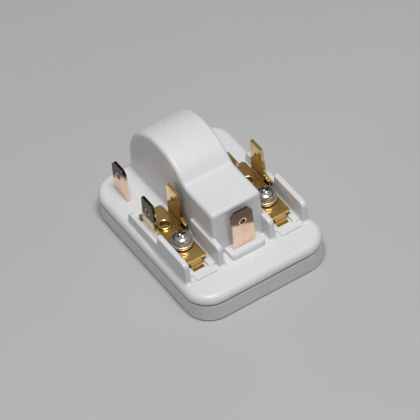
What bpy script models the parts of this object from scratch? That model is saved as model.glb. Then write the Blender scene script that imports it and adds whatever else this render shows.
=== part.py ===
"""Plug-on starting relay for a refrigeration compressor.

Two white moulded shells hold a round thermistor disc between leaf springs.
The cover carries two screw-and-tab terminals and two single copper tabs, and
the base has three holes for the compressor's pins.

Metres. X is the short side, Y the long side (front is -Y), Z is up.
The origin is the centre of the underside.
"""
import math

import bmesh
import bpy
from mathutils import Vector

# Clearances
GAP = 0.0003              # between pieces that touch

# Housing
BODY_WIDTH = 0.0382       # along X
BODY_LENGTH = 0.0513      # along Y
CORNER_RADIUS = 0.0067
DECK_HEIGHT = 0.0080      # flat top of the cover
COVER_RIM = 0.0026        # top of the deck down to the parting line
DECK_EDGE_RADIUS = 0.0017
BOTTOM_EDGE_RADIUS = 0.0006
PARTING_GROOVE = (0.0004, 0.0004)  # depth and height, round the foot of the cover
SHELL_WALL = 0.0016
FLOOR_THICKNESS = 0.0016
DECK_THICKNESS = 0.0016
LIP_THICKNESS = 0.0010
LIP_DEPTH = 0.0016
SNAP_DEPTH = 0.0004
SNAP_LENGTH = 0.0070

# Hump over the disc and the box in front of it (each rise is above the deck)
HUMP_BACK_MARGIN = 0.00135  # back of the body to the back of the hump
HUMP_ARCH_RADIUS = 0.0150
HUMP_ARCH_RISE = 0.0045
HUMP_BLEND_RADIUS = 0.0030
HUMP_EDGE_RADIUS = 0.0010
HUMP_WALL = 0.0013
HUMP_DRAFT = 0.022        # how far each side leans in per unit of height
BOX_BACK_RISE = 0.0142
BOX_FRONT_RISE = 0.0140
BOX_FRONT_Y = -0.0143

# Ribs beside the terminals
SIDE_MARGIN = 0.0014      # side of the body to the outer ribs
RIB_STEP = 0.0007         # side of the hump to the face of an inner rib
RIB_THICKNESS = 0.0016
RIB_RISE = 0.0062
RIB_FRONT_Y = -0.0176
RIB_BACK_Y = -0.0048
RIB_NOSE_RADIUS = 0.0014
RIB_EDGE_RADIUS = 0.0005
CHANNEL_HALF = 0.0040     # terminal centre to the face of a tall rib
RAIL_THICKNESS = 0.0013
RAIL_RISE = 0.0032
RAIL_BACK_Y = 0.0088
RAIL_NOSE_RADIUS = 0.0016
PAD_RISE = 0.0004
PAD_FRONT_Y = -0.0183
PAD_NOSE_HALF = 0.0027

# Terminal bracket with its two blades
METAL_THICKNESS = 0.0008
BLADE_WIDTH = 0.0057      # at the shoulder
BLADE_TIP_WIDTH = 0.0048
BLADE_Y = 0.00105          # centre of the blades
BLADE_RISE = 0.0121
BLADE_FRONT_CUT = (0.0004, 0.0012)  # chamfer of the tip, run and drop
BLADE_BACK_CUT = (0.0002, 0.0004)
BLADE_HOLE_RADIUS = 0.0006
BLADE_HOLE_RIM = 0.00025   # coined rim round the hole
BLADE_HOLE_DROP = 0.0035  # hole centre below the tip
BLADE_SHOULDER_RISE = 0.0042
FOOT_FRONT_Y = -0.0040
FOOT_RISE = 0.0036
BRACKET_FRONT_Y = -0.0131
BRACKET_BEND = 0.0005
BRACKET_SEAT_RISE = 0.0001
LUG_BACK_Y = 0.0059       # lug behind the left outer blade
LUG_RISE = 0.0035
LUG_HEIGHT = 0.0016
TONGUE_WIDTH = 0.0032
TONGUE_RUN = 0.0010
TONGUE_DROP = 0.0022
WINDOW_HALF = 0.0021
WINDOW_FRONT_Y = -0.0159
WINDOW_DEPTH = 0.0008

# Clamp strip, washer and screw
STRIP_WIDTH = 0.0057
STRIP_FRONT_Y = -0.0136
STRIP_BACK_Y = 0.0068
STRIP_CHAMFER = 0.0006
COLLAR_SHIFT = -0.0002    # off the middle line of the strip
COLLAR_Y = 0.0002
COLLAR_RADIUS = 0.0018
COLLAR_BORE = 0.0012
COLLAR_RISE = 0.0005
COLLAR_DROP = 0.0009
SCREW_Y = -0.0074
SCREW_SHANK_RADIUS = 0.00125
SCREW_HEAD_RADIUS = 0.00245
SCREW_HEAD_HEIGHT = 0.0018
SCREW_RECESS_DEPTH = 0.0010
SCREW_RECESS_WIDTH = 0.0006
SCREW_RECESS_SPAN = 0.0024
SCREW_BOSS_RADIUS = 0.0025
SCREW_BOSS_FLOOR = 0.0008
SCREW_BOSS_CLEARANCE = 0.0008  # above the strips in the base
WASHER_RADIUS = 0.0028
WASHER_THICKNESS = 0.0008

# Copper tabs
FRONT_TAB_X = 0.0003
FRONT_TAB_Y = -0.0157
FRONT_TAB_RISE = 0.01295
PEDESTAL_RISE = 0.0015
PEDESTAL_FRONT_Y = -0.0174
PEDESTAL_HALF = 0.0048
REAR_TAB_SIDE_MARGIN = 0.0052   # side of the body to the rear tab
REAR_TAB_BACK_MARGIN = 0.00825  # back of the body to the middle of the rear tab
REAR_TAB_RISE = 0.0098
TAB_WIDTH = 0.0063        # at the deck
TAB_TIP_WIDTH = 0.0058
TAB_CUT = (0.0010, 0.0012)
TAB_HOLE_RADIUS = 0.00075
TAB_HOLE_DROP = 0.0035
TAB_SHOULDER = 0.0010
TAB_SHOULDER_DEPTH = 0.0016
TAB_FOOT_WIDTH = 0.0030

# Thermistor disc and its springs
DISC_RADIUS = 0.0095
DISC_THICKNESS = 0.0030
DISC_LIFT = 0.0003        # disc centre above the centre of the arch
SPRING_THICKNESS = 0.0004
SPRING_WIDTH = 0.0060
SPRING_PAD_HALF = 0.0016
SPRING_KNEE_DROP = 0.0056      # below the centre of the disc
SPRING_SHOULDER_RISE = 0.0058  # above the centre of the disc
SPRING_TOP_RISE = 0.0074
SPRING_FOOT = 0.0026
SADDLE_LENGTH = 0.0022
SADDLE_DROP = 0.0074      # saddle top below the centre of the disc
SADDLE_CHEEK = 0.0008

# Pin sockets and the strips stamped with them
COMMON_PIN = (0.0, -0.0110)
START_PIN = (-0.0052, -0.0019)
RUN_PIN = (0.0052, -0.0019)
PIN_BORE_RADIUS = 0.0015
SOCKET_WALL = 0.0005
SOCKET_CLEARANCE = 0.0005  # below the deck
SOCKET_SLIT = 0.0006
PIN_HOLE_RADIUS = 0.0019
PIN_HOLE_LEAD = 0.0006
LINK_THICKNESS = 0.0006
LINK_WIDTH = 0.0024
CLIP_THICKNESS = 0.0004
CLIP_OPENING = 0.0018
BOSS_WALL = 0.0008

# Places across and along the body that follow from the sizes above
TERMINAL_X = BODY_WIDTH / 2 - SIDE_MARGIN - RIB_THICKNESS - CHANNEL_HALF
HUMP_HALF = TERMINAL_X - CHANNEL_HALF - RIB_STEP
HUMP_BACK_Y = BODY_LENGTH / 2 - HUMP_BACK_MARGIN
HUMP_ARCH_Y = HUMP_BACK_Y - HUMP_ARCH_RADIUS
REAR_TAB_X = -(BODY_WIDTH / 2 - REAR_TAB_SIDE_MARGIN)
REAR_TAB_Y = BODY_LENGTH / 2 - REAR_TAB_BACK_MARGIN

# Heights and widths that follow from the sizes above
PARTING_HEIGHT = DECK_HEIGHT - COVER_RIM
LIP_BOTTOM_Z = PARTING_HEIGHT - LIP_DEPTH
DECK_UNDER_Z = DECK_HEIGHT - DECK_THICKNESS
HUMP_ARCH_Z = DECK_HEIGHT + HUMP_ARCH_RISE
BOX_TOP_BACK_Z = DECK_HEIGHT + BOX_BACK_RISE
BOX_TOP_FRONT_Z = DECK_HEIGHT + BOX_FRONT_RISE
RIB_TOP_Z = DECK_HEIGHT + RIB_RISE
RAIL_TOP_Z = DECK_HEIGHT + RAIL_RISE
PAD_TOP_Z = DECK_HEIGHT + PAD_RISE
WINDOW_FLOOR_Z = PAD_TOP_Z - WINDOW_DEPTH
PEDESTAL_TOP_Z = DECK_HEIGHT + PEDESTAL_RISE
BLADE_TOP_Z = DECK_HEIGHT + BLADE_RISE
BLADE_SHOULDER_Z = DECK_HEIGHT + BLADE_SHOULDER_RISE
FOOT_TOP_Z = DECK_HEIGHT + FOOT_RISE
LUG_TOP_Z = DECK_HEIGHT + LUG_RISE
FRONT_TAB_TOP_Z = DECK_HEIGHT + FRONT_TAB_RISE
REAR_TAB_TOP_Z = DECK_HEIGHT + REAR_TAB_RISE
DISC_Z = HUMP_ARCH_Z + DISC_LIFT
LINK_Z = FLOOR_THICKNESS + GAP
LINK_TOP_Z = LINK_Z + LINK_THICKNESS
SCREW_BOSS_Z = LINK_TOP_Z + SCREW_BOSS_CLEARANCE
SCREW_TIP_Z = SCREW_BOSS_Z + SCREW_BOSS_FLOOR + GAP
SOCKET_TOP_Z = DECK_UNDER_Z - SOCKET_CLEARANCE
BOSS_TOP_Z = LIP_BOTTOM_Z - GAP
BRACKET_SEAT_Z = DECK_HEIGHT + BRACKET_SEAT_RISE
BRACKET_Z = BRACKET_SEAT_Z + GAP
BRACKET_TOP_Z = BRACKET_Z + METAL_THICKNESS
BRACKET_HALF = STRIP_WIDTH / 2 + GAP + METAL_THICKNESS
STRIP_Z = BRACKET_TOP_Z + GAP
STRIP_TOP_Z = STRIP_Z + METAL_THICKNESS
WASHER_Z = STRIP_TOP_Z + GAP
HEAD_Z = WASHER_Z + WASHER_THICKNESS + GAP
SCREW_HOLE_RADIUS = SCREW_SHANK_RADIUS + GAP
SOCKET_RADIUS = PIN_BORE_RADIUS + SOCKET_WALL
CLIP_RADIUS = SOCKET_RADIUS + GAP + CLIP_THICKNESS
BOSS_BORE = CLIP_RADIUS + GAP
OVERLAP = 0.0002          # how far fused features reach into each other

# Colours, roughness and metallic value
FINISHES = {
    "white_plastic": ((0.80, 0.81, 0.82), 0.42, 0.0),
    "brass": ((0.62, 0.40, 0.13), 0.30, 1.0),
    "copper": ((0.78, 0.42, 0.29), 0.32, 1.0),
    "nickel": ((0.66, 0.64, 0.62), 0.22, 1.0),
    "ceramic": ((0.16, 0.15, 0.14), 0.60, 0.0),
    "spring_steel": ((0.52, 0.52, 0.53), 0.30, 1.0),
}


def clear_scene():
    """Start from an empty scene."""
    for item in list(bpy.data.objects):
        bpy.data.objects.remove(item, do_unlink=True)


def add_material(item, finish):
    """Give a piece its own material."""
    colour, roughness, metallic = FINISHES[finish]
    material = bpy.data.materials.new(item.name + "_" + finish)
    material.use_nodes = True
    shader = material.node_tree.nodes["Principled BSDF"]
    shader.inputs["Base Color"].default_value = (*colour, 1.0)
    shader.inputs["Roughness"].default_value = roughness
    shader.inputs["Metallic"].default_value = metallic
    material.diffuse_color = (*colour, 1.0)
    item.data.materials.append(material)


def add_object(name, mesh_data):
    """Turn a finished bmesh into an object in the scene."""
    bmesh.ops.remove_doubles(mesh_data, verts=mesh_data.verts, dist=1e-7)
    bmesh.ops.recalc_face_normals(mesh_data, faces=mesh_data.faces)
    mesh = bpy.data.meshes.new(name)
    mesh_data.to_mesh(mesh)
    mesh_data.free()
    item = bpy.data.objects.new(name, mesh)
    bpy.context.collection.objects.link(item)
    return item


def as_tool(item):
    """Mark a shape that only cuts or joins another one."""
    item.hide_render = True
    item.display_type = "WIRE"
    return item


def smooth(item, degrees=32.0):
    """Shade round faces smooth and keep the corners sharp."""
    item.data.shade_smooth()
    item.data.set_sharp_from_angle(angle=math.radians(degrees))


def combine(item, tools, operation):
    """Join or cut a piece with other shapes."""
    for tool in tools:
        as_tool(tool)
        modifier = item.modifiers.new(operation.title() + "_" + tool.name, "BOOLEAN")
        modifier.operation = operation
        modifier.solver = "EXACT"
        modifier.object = tool


def round_edges(item, width, segments=2, degrees=50.0):
    """Round the edges of a shape that turn by more than an angle."""
    modifier = item.modifiers.new("Rounded_edges", "BEVEL")
    modifier.width = width
    modifier.segments = segments
    modifier.limit_method = "ANGLE"
    modifier.angle_limit = math.radians(degrees)
    modifier.harden_normals = False
    return modifier


def arc(centre, radius, start, end, steps):
    """Points on a circular arc between two angles in degrees."""
    points = []
    for step in range(steps + 1):
        angle = math.radians(start + (end - start) * step / steps)
        points.append((centre[0] + radius * math.cos(angle),
                       centre[1] + radius * math.sin(angle)))
    return points


def prism(name, outline, axis, low, high):
    """Extrude a flat outline along X, Y or Z.

    The outline is (y, z) for X, (x, z) for Y and (x, y) for Z.
    """
    place = {
        "X": lambda u, v, w: (w, u, v),
        "Y": lambda u, v, w: (u, w, v),
        "Z": lambda u, v, w: (u, v, w),
    }[axis]
    mesh_data = bmesh.new()
    corners = [mesh_data.verts.new(place(u, v, low)) for u, v in outline]
    face = mesh_data.faces.new(corners)
    extruded = bmesh.ops.extrude_face_region(mesh_data, geom=[face])
    moved = [part for part in extruded["geom"] if isinstance(part, bmesh.types.BMVert)]
    shift = Vector(place(0.0, 0.0, high - low))
    bmesh.ops.translate(mesh_data, vec=shift, verts=moved)
    return add_object(name, mesh_data)


def block(name, low, high):
    """Rectangular block between two corners."""
    outline = [(low[0], low[1]), (high[0], low[1]), (high[0], high[1]), (low[0], high[1])]
    return prism(name, outline, "Z", low[2], high[2])


def cylinder(name, centre, radius, low, high, axis="Z", steps=32):
    """Round bar along an axis."""
    return prism(name, arc(centre, radius, 0.0, 360.0, steps)[:-1], axis, low, high)


def turned(name, profile, centre, axis="Z", steps=32):
    """Revolve an (r, along) profile about an axis through a centre."""
    mesh_data = bmesh.new()
    points = [mesh_data.verts.new((r, 0.0, z)) for r, z in profile]
    edges = [mesh_data.edges.new(pair) for pair in zip(points, points[1:])]
    if profile[0][0] > 0.0:
        edges.append(mesh_data.edges.new((points[-1], points[0])))
    bmesh.ops.spin(mesh_data, geom=points + edges, cent=(0.0, 0.0, 0.0), axis=(0.0, 0.0, 1.0),
                   angle=math.tau, steps=steps, use_merge=True)
    for vert in mesh_data.verts:
        u, v, along = vert.co.x + centre[0], vert.co.y + centre[1], vert.co.z
        vert.co = {"X": (along, u, v), "Y": (u, along, v), "Z": (u, v, along)}[axis]
    return add_object(name, mesh_data)


def blade_hole(name, centre, radius, axis, low, high):
    """Round hole through a blade, with a coined rim on both faces."""
    wide = radius + BLADE_HOLE_RIM + OVERLAP
    profile = [(0.0, low - OVERLAP), (wide, low - OVERLAP),
               (radius, low + BLADE_HOLE_RIM), (radius, high - BLADE_HOLE_RIM),
               (wide, high + OVERLAP), (0.0, high + OVERLAP)]
    return turned(name, profile, centre, axis, 20)


def rounded_outline(inset, steps=8):
    """Outline of the housing, moved inward by an inset."""
    radius = max(CORNER_RADIUS - inset, 0.0004)
    x = BODY_WIDTH / 2 - inset - radius
    y = BODY_LENGTH / 2 - inset - radius
    points = []
    for sx, sy, start in ((1, -1, -90.0), (1, 1, 0.0), (-1, 1, 90.0), (-1, -1, 180.0)):
        points += arc((sx * x, sy * y), radius, start, start + 90.0, steps)
    return points


def housing_slab(name, sections):
    """Loft the housing outline through (inset, z) sections."""
    mesh_data = bmesh.new()
    rings = []
    for inset, z in sections:
        ring = [mesh_data.verts.new((x, y, z)) for x, y in rounded_outline(inset)]
        rings.append(ring)
    for lower, upper in zip(rings, rings[1:]):
        count = len(lower)
        for index in range(count):
            after = (index + 1) % count
            mesh_data.faces.new((lower[index], lower[after], upper[after], upper[index]))
    mesh_data.faces.new(rings[0])
    mesh_data.faces.new(rings[-1])
    return add_object(name, mesh_data)


def edge_sections(radius, z, up, steps=6):
    """Sections of a quarter-round edge that ends on a flat at height z."""
    sections = []
    for step in range(steps + 1):
        angle = math.radians(90.0 * step / steps)
        inset = radius * (1.0 - math.cos(angle))
        rise = radius * (1.0 - math.sin(angle))
        sections.append((inset, z - rise if up else z + rise))
    return sections


def path_outline(points, half):
    """Outline of a strip of constant width along a path, with mitred corners."""
    left = []
    right = []
    count = len(points)
    for index, point in enumerate(points):
        here = Vector(point)
        before = (here - Vector(points[index - 1])).normalized() if index else None
        after = (Vector(points[index + 1]) - here).normalized() if index < count - 1 else None
        before = before or after
        after = after or before
        along = (before + after).normalized()
        normal = Vector((-along.y, along.x))
        reach = half / max(along.dot(before), 0.2)
        left.append(tuple(here + normal * reach))
        right.append(tuple(here - normal * reach))
    return left + right[::-1]


def hump_outline(inset, bottom):
    """Side outline of the arched hump and the box in front of it, as (y, z)."""
    radius = HUMP_ARCH_RADIUS - inset
    blend = HUMP_BLEND_RADIUS + inset
    top = BOX_TOP_BACK_Z - inset
    rise = top + blend - HUMP_ARCH_Z
    run = math.sqrt((radius + blend) ** 2 - rise ** 2)
    turn = math.degrees(math.atan2(rise, -run))
    blend_y = HUMP_ARCH_Y - run
    front = BOX_FRONT_Y + inset
    points = [(HUMP_BACK_Y - inset, bottom)]
    points += arc((HUMP_ARCH_Y, HUMP_ARCH_Z), radius, 0.0, turn, 30)
    points += arc((blend_y, top + blend), blend, turn - 180.0, -90.0, 5)[1:]
    points += [(front, BOX_TOP_FRONT_Z - inset), (front, bottom)]
    return points


def lean_in(item):
    """Lean both sides of the hump inward as they rise from the deck."""
    for vert in item.data.vertices:
        lean = (vert.co.z - DECK_HEIGHT) * HUMP_DRAFT
        vert.co.x -= math.copysign(lean, vert.co.x)
    return item


def rib(name, side, inner):
    """Tall rib beside a terminal, with a rounded nose at the front."""
    face = TERMINAL_X - CHANNEL_HALF if inner else TERMINAL_X + CHANNEL_HALF
    far = face - RIB_THICKNESS if inner else face + RIB_THICKNESS
    low, high = sorted((side * face, side * far))
    nose = (RIB_FRONT_Y + RIB_NOSE_RADIUS, RIB_TOP_Z - RIB_NOSE_RADIUS)
    outline = [(RIB_BACK_Y, DECK_UNDER_Z + OVERLAP), (RIB_BACK_Y, RIB_TOP_Z)]
    outline += arc(nose, RIB_NOSE_RADIUS, 90.0, 180.0, 6)
    outline += [(RIB_FRONT_Y, DECK_UNDER_Z + OVERLAP)]
    item = prism(name, outline, "X", low, high)
    round_edges(item, RIB_EDGE_RADIUS)
    return item


def rail(name, side):
    """Low rail behind the outer rib, with a rounded back end."""
    face = TERMINAL_X + BRACKET_HALF + GAP
    low, high = sorted((side * face, side * (face + RAIL_THICKNESS)))
    nose = (RAIL_BACK_Y - RAIL_NOSE_RADIUS, RAIL_TOP_Z - RAIL_NOSE_RADIUS)
    outline = [(RIB_BACK_Y - RIB_THICKNESS, DECK_UNDER_Z + OVERLAP)]
    outline += [(RAIL_BACK_Y, DECK_UNDER_Z + OVERLAP)]
    outline += arc(nose, RAIL_NOSE_RADIUS, 0.0, 90.0, 5)
    outline += [(RIB_BACK_Y - RIB_THICKNESS, RAIL_TOP_Z)]
    item = prism(name, outline, "X", low, high)
    round_edges(item, RIB_EDGE_RADIUS * 0.8)
    return item


def terminal_pad(name, side):
    """Raised floor between two tall ribs, with a narrower nose ahead of them."""
    x = side * TERMINAL_X
    reach = CHANNEL_HALF + RIB_THICKNESS / 2
    step = RIB_FRONT_Y + RIB_NOSE_RADIUS
    outline = [
        (x - reach, RIB_BACK_Y), (x - reach, step),
        (x - PAD_NOSE_HALF, step), (x - PAD_NOSE_HALF, PAD_FRONT_Y),
        (x + PAD_NOSE_HALF, PAD_FRONT_Y), (x + PAD_NOSE_HALF, step),
        (x + reach, step), (x + reach, RIB_BACK_Y),
    ]
    return prism(name, outline, "Z", DECK_UNDER_Z + OVERLAP, PAD_TOP_Z)


def bracket_bed(name, side):
    """Low bed behind the ribs, on which the bracket lies below its blades."""
    x = side * TERMINAL_X
    reach = BRACKET_HALF + GAP + OVERLAP
    return block(name, (x - reach, RIB_BACK_Y - OVERLAP, DECK_UNDER_Z + OVERLAP),
                 (x + reach, BLADE_Y + BLADE_WIDTH / 2, BRACKET_SEAT_Z))


def terminal_cuts(name, side):
    """Seat of the bracket, window of its tongue and hole of the screw."""
    x = side * TERMINAL_X
    top = RIB_TOP_Z
    wide = BRACKET_HALF + GAP
    narrow = STRIP_WIDTH / 2 + GAP
    back = BLADE_Y + BLADE_WIDTH / 2 + GAP
    step = FOOT_FRONT_Y - GAP
    front = BRACKET_FRONT_Y - GAP
    outline = [
        (x - wide, back), (x - wide, step), (x - narrow, step), (x - narrow, front),
        (x + narrow, front), (x + narrow, step), (x + wide, step), (x + wide, back),
    ]
    seat = prism(name + "_seat", outline, "Z", BRACKET_SEAT_Z, top)
    bend = BRACKET_FRONT_Y + METAL_THICKNESS / 2 + GAP
    window = block(name + "_window", (x - WINDOW_HALF, WINDOW_FRONT_Y, WINDOW_FLOOR_Z),
                   (x + WINDOW_HALF, bend, top))
    slot_half = TONGUE_WIDTH / 2 + GAP
    slot_front = BRACKET_FRONT_Y - TONGUE_RUN - METAL_THICKNESS / 2 - GAP
    slot = block(name + "_slot", (x - slot_half, slot_front, DECK_UNDER_Z - OVERLAP),
                 (x + slot_half, bend, WINDOW_FLOOR_Z + OVERLAP))
    hole = cylinder(name + "_hole", (x, SCREW_Y), SCREW_HOLE_RADIUS, SCREW_TIP_Z - GAP, top)
    collar = cylinder(name + "_collar", (x + COLLAR_SHIFT, COLLAR_Y), COLLAR_RADIUS + GAP,
                      STRIP_Z - COLLAR_DROP - GAP, top)
    return [seat, window, slot, hole, collar]


def locating_lip():
    """Ring under the cover that drops inside the base's wall."""
    outer = SHELL_WALL + GAP
    bottom = LIP_BOTTOM_Z
    ring = housing_slab("lip_outer", [(outer, bottom), (outer, DECK_UNDER_Z + OVERLAP)])
    inner = housing_slab("lip_inner", [(outer + LIP_THICKNESS, bottom - OVERLAP),
                                       (outer + LIP_THICKNESS, DECK_HEIGHT)])
    combine(ring, [inner], "DIFFERENCE")
    return ring


def snap_bead(name, side, along, clearance):
    """Wedge on the lip, or its groove in the base when given a clearance."""
    root = SHELL_WALL + GAP + (0.0 if clearance else OVERLAP)
    tip = SHELL_WALL + GAP - SNAP_DEPTH - clearance
    low = LIP_BOTTOM_Z + GAP - clearance
    high = PARTING_HEIGHT - GAP * 2 - SNAP_DEPTH + clearance
    middle = (low + high) / 2
    half = SNAP_LENGTH / 2 + clearance
    edge = (BODY_WIDTH if along == "Y" else BODY_LENGTH) / 2
    outline = [(side * (edge - root), low), (side * (edge - tip), middle),
               (side * (edge - root), high)]
    return prism(name, outline, "Y" if along == "Y" else "X", -half, half)


def snap_beads(name, clearance):
    """Beads on both long and both short sides."""
    return [
        snap_bead(name + "_left", -1, "Y", clearance),
        snap_bead(name + "_right", 1, "Y", clearance),
        snap_bead(name + "_front", -1, "X", clearance),
        snap_bead(name + "_back", 1, "X", clearance),
    ]


def make_cover():
    """Cover: deck, hump, ribs, pads and pedestal, hollow below."""
    depth, rise = PARTING_GROOVE
    sections = [(depth, PARTING_HEIGHT), (depth, PARTING_HEIGHT + rise), (0.0, PARTING_HEIGHT + rise)]
    sections += edge_sections(DECK_EDGE_RADIUS, DECK_HEIGHT, True)
    cover = housing_slab("cover", sections)
    cavity = housing_slab("cover_cavity", [(SHELL_WALL, PARTING_HEIGHT - OVERLAP),
                                           (SHELL_WALL, DECK_UNDER_Z)])
    combine(cover, [cavity], "DIFFERENCE")
    hump = prism("cover_hump", hump_outline(0.0, DECK_UNDER_Z + OVERLAP), "X",
                 -HUMP_HALF, HUMP_HALF)
    lean_in(hump)
    round_edges(hump, HUMP_EDGE_RADIUS, segments=3, degrees=40.0)
    inner = HUMP_HALF - HUMP_WALL
    hollow = prism("cover_hollow", hump_outline(HUMP_WALL, PARTING_HEIGHT - OVERLAP), "X",
                   -inner, inner)
    lean_in(hollow)
    pedestal = block("cover_pedestal",
                     (FRONT_TAB_X - PEDESTAL_HALF, PEDESTAL_FRONT_Y, DECK_UNDER_Z + OVERLAP),
                     (FRONT_TAB_X + PEDESTAL_HALF, BOX_FRONT_Y + OVERLAP, PEDESTAL_TOP_Z))
    fused = [hump, pedestal]
    cuts = [hollow]
    for side, word in ((-1, "left"), (1, "right")):
        fused.append(rib("cover_rib_outer_" + word, side, False))
        fused.append(rib("cover_rib_inner_" + word, side, True))
        fused.append(rail("cover_rail_" + word, side))
        fused.append(terminal_pad("cover_pad_" + word, side))
        fused.append(bracket_bed("cover_bed_" + word, side))
        boss = cylinder("cover_screw_boss_" + word, (side * TERMINAL_X, SCREW_Y),
                        SCREW_BOSS_RADIUS, SCREW_BOSS_Z, DECK_UNDER_Z + OVERLAP)
        fused.append(boss)
        cuts += terminal_cuts("cover_cut_" + word, side)
    cuts.append(tab_slot("cover_slot_front", FRONT_TAB_X, FRONT_TAB_Y, "X"))
    cuts.append(tab_slot("cover_slot_rear", REAR_TAB_X, REAR_TAB_Y, "Y"))
    lip = locating_lip()
    combine(cover, [lip] + snap_beads("cover_snap", 0.0) + fused, "UNION")
    combine(cover, cuts, "DIFFERENCE")
    smooth(cover)
    add_material(cover, "white_plastic")
    return cover


def tab_slot(name, x, y, along):
    """Slot in the deck for a copper tab that lies along X or Y."""
    wide = TAB_WIDTH / 2 + GAP
    thin = METAL_THICKNESS / 2 + GAP
    reach = (wide, thin) if along == "X" else (thin, wide)
    return block(name, (x - reach[0], y - reach[1], DECK_UNDER_Z - OVERLAP),
                 (x + reach[0], y + reach[1], PEDESTAL_TOP_Z + OVERLAP))


def link_paths():
    """Routes of the flat strips that join each pin socket to its contacts."""
    tongue_y = BRACKET_FRONT_Y - TONGUE_RUN - METAL_THICKNESS / 2
    spring_x = spring_wall() + SPRING_FOOT / 2
    common = [
        [(-TERMINAL_X - LINK_WIDTH / 2, tongue_y), (FRONT_TAB_X + LINK_WIDTH / 2, tongue_y)],
        [(COMMON_PIN[0], tongue_y), COMMON_PIN],
    ]
    corner_y = RUN_PIN[1] - BOSS_BORE - BOSS_WALL - LINK_WIDTH / 2
    run = [
        [(spring_x, HUMP_ARCH_Y), (RUN_PIN[0], HUMP_ARCH_Y)],
        [(RUN_PIN[0], HUMP_ARCH_Y + LINK_WIDTH / 2), RUN_PIN, (RUN_PIN[0], corner_y),
         (TERMINAL_X, corner_y), (TERMINAL_X, tongue_y - METAL_THICKNESS)],
    ]
    near_x = max(START_PIN[0], -spring_x) + LINK_WIDTH / 2
    start = [
        [START_PIN, (START_PIN[0], HUMP_ARCH_Y + LINK_WIDTH / 2)],
        [(near_x, HUMP_ARCH_Y), (REAR_TAB_X, HUMP_ARCH_Y),
         (REAR_TAB_X, REAR_TAB_Y + TAB_FOOT_WIDTH / 2)],
    ]
    return {"common": common, "run": run, "start": start}


def link_shapes(name, paths, low, high, clearance=0.0):
    """Flat strips along their routes."""
    shapes = []
    for index, path in enumerate(paths):
        outline = path_outline(path, LINK_WIDTH / 2 + clearance)
        shapes.append(prism("%s_%d" % (name, index), outline, "Z", low, high))
    return shapes


def make_base():
    """Base tray with bosses round the pins and a cradle for the disc."""
    sections = edge_sections(BOTTOM_EDGE_RADIUS, 0.0, False, 3)[::-1]
    sections.append((0.0, PARTING_HEIGHT - GAP))
    base = housing_slab("base_shell", sections)
    cavity = housing_slab("base_cavity", [(SHELL_WALL, FLOOR_THICKNESS),
                                          (SHELL_WALL, DECK_HEIGHT)])
    combine(base, [cavity], "DIFFERENCE")
    bosses = []
    cuts = []
    paths = link_paths()
    for word, pin in (("common", COMMON_PIN), ("start", START_PIN), ("run", RUN_PIN)):
        ring = cylinder("base_boss_" + word, pin, BOSS_BORE + BOSS_WALL,
                        FLOOR_THICKNESS - OVERLAP, BOSS_TOP_Z)
        bore = cylinder("base_bore_" + word, pin, BOSS_BORE, FLOOR_THICKNESS, DECK_HEIGHT)
        lanes = link_shapes("base_lane_" + word, paths[word], FLOOR_THICKNESS, DECK_HEIGHT, GAP)
        combine(ring, [bore] + lanes, "DIFFERENCE")
        bosses.append(ring)
        lead = PIN_HOLE_RADIUS + PIN_HOLE_LEAD
        profile = [(0.0, -OVERLAP), (lead, -OVERLAP), (lead, 0.0), (PIN_HOLE_RADIUS, PIN_HOLE_LEAD),
                   (PIN_HOLE_RADIUS, FLOOR_THICKNESS + OVERLAP),
                   (0.0, FLOOR_THICKNESS + OVERLAP)]
        cuts.append(turned("base_pin_hole_" + word, profile, pin))
    combine(base, bosses + disc_saddles(), "UNION")
    combine(base, cuts + snap_beads("base_groove", GAP), "DIFFERENCE")
    smooth(base)
    add_material(base, "white_plastic")
    return base


def disc_saddles():
    """Two saddles under the rim of the disc, with a cheek on each face."""
    slot = DISC_THICKNESS / 2 + GAP
    half = slot + SADDLE_CHEEK
    near = SPRING_WIDTH / 2 + GAP
    saddles = []
    for word, start in (("front", -near - SADDLE_LENGTH), ("back", near)):
        low = HUMP_ARCH_Y + start
        saddle = block("base_saddle_" + word, (-half, low, FLOOR_THICKNESS - OVERLAP),
                       (half, low + SADDLE_LENGTH, DISC_Z - SADDLE_DROP))
        room = cylinder("base_saddle_room_" + word, (HUMP_ARCH_Y, DISC_Z), DISC_RADIUS + GAP,
                        -slot, slot, "X", 48)
        combine(saddle, [room], "DIFFERENCE")
        saddles.append(saddle)
    return saddles


def blade_outline(centre, foot, tip, top, high_cut, low_cut):
    """Blade from one side to the other, narrowing from its foot to a chamfered tip.

    The foot is (half width, z), the tip a half width at the top, and each cut (run, drop).
    """
    half, base = foot
    taper = (half - tip) / (top - base)
    return [
        (centre + half, base),
        (centre + tip + taper * high_cut[1], top - high_cut[1]),
        (centre + tip - high_cut[0], top),
        (centre - tip + low_cut[0], top),
        (centre - tip - taper * low_cut[1], top - low_cut[1]),
        (centre - half, base),
    ]


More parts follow.
